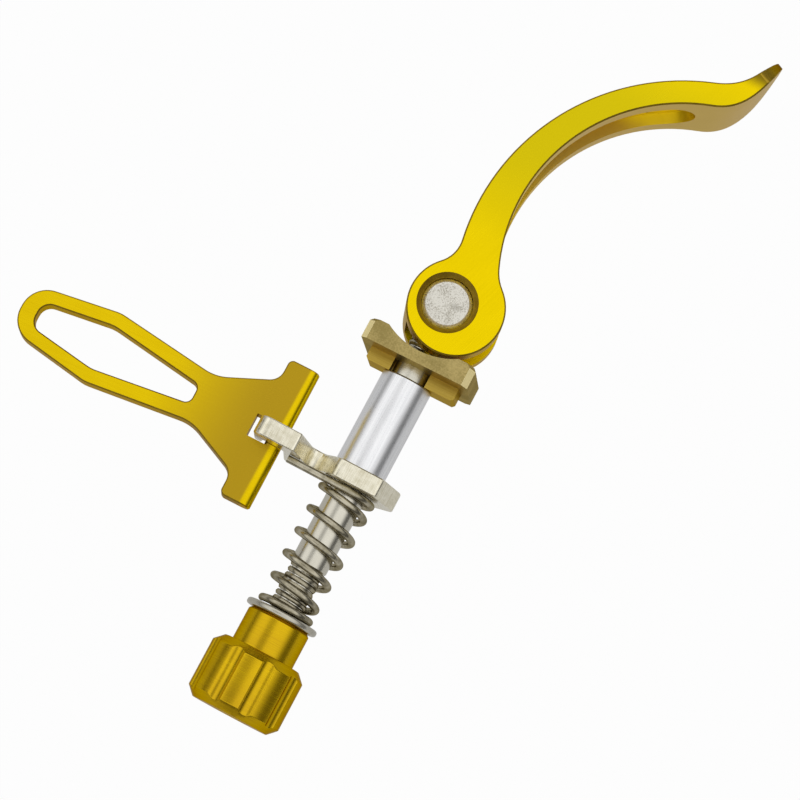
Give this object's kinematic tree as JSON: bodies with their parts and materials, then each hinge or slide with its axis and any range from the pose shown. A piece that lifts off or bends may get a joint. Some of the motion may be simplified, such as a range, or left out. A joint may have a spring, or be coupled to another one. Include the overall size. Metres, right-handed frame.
{
  "type": "quick release seatpost clamp",
  "caption": "Quick release clamp with a forked cam lever on a sprung bolt, brass saddle, spacer sleeve, hook plate with a hinged loop, and a fluted thumb nut.",
  "frame": {"origin": "middle of the spacer sleeve on the bolt's axis, where the frame lugs sit", "axes": "+Y along the bolt towards the lever, +X the way the lever's tip sweeps out, +Z along the pivot pin, up as the clamp lies"},
  "size_m": [0.0875, 0.132, 0.018],
  "materials": {
    "gold_anodise": "satin gold anodise",
    "brass": "matte tumbled brass",
    "sleeve_steel": "bright drawn tube",
    "pin_steel": "blasted steel",
    "bolt_steel": "bright steel",
    "plate_steel": "tumbled nickel plate",
    "spring_steel": "drawn wire",
    "washer_steel": "zinc plate"
  },
  "bodies": {
    "bolt": {"clamp_bolt": "bolt_steel", "pivot_pin": "pin_steel"},
    "lever": {"cam_lever": "gold_anodise"},
    "follower": {"saddle_block": "brass", "spacer_sleeve": "sleeve_steel"},
    "hook": {"hook_plate": "plate_steel"},
    "loop": {"loop_plate": "gold_anodise"},
    "washer": {"flat_washer": "washer_steel", "coil_spring": "spring_steel"},
    "nut": {"thumb_nut": "gold_anodise"}
  },
  "joints": [
    {"name": "lever_hinge", "type": "hinge", "parent": "bolt", "child": "lever", "pos_m": [0, 0.02079, 0], "axis": [0, 0, 1], "range_deg": [-90, 10]},
    {"name": "follower_slide", "type": "slide", "parent": "bolt", "child": "follower", "axis": [0, 1, 0], "range_m": [-0.0011, 0.00013]},
    {"name": "hook_swivel", "type": "hinge", "parent": "follower", "child": "hook", "pos_m": [0, -0.00965, 0], "axis": [0, 1, 0], "range_deg": [-90, 90]},
    {"name": "loop_hinge", "type": "hinge", "parent": "hook", "child": "loop", "pos_m": [-0.0137, -0.0098, 0.0034], "axis": [-0.0122, 0.9986, -0.0523], "range_deg": [-90, 15]},
    {"name": "nut_travel", "type": "slide", "parent": "bolt", "child": "washer", "axis": [0, 1, 0], "range_m": [0, 0.006], "deforming": ["coil_spring"]},
    {"name": "nut_turn", "type": "hinge", "parent": "washer", "child": "nut", "pos_m": [0, -0.0424, 0], "axis": [0, 1, 0], "range_deg": [0, 2165]}
  ],
  "couplings": [
    {"joint": "follower_slide", "follows": "lever_hinge", "m_per_rad": 0.0007},
    {"joint": "nut_turn", "follows": "nut_travel", "rad_per_m": 6283.2}
  ]
}
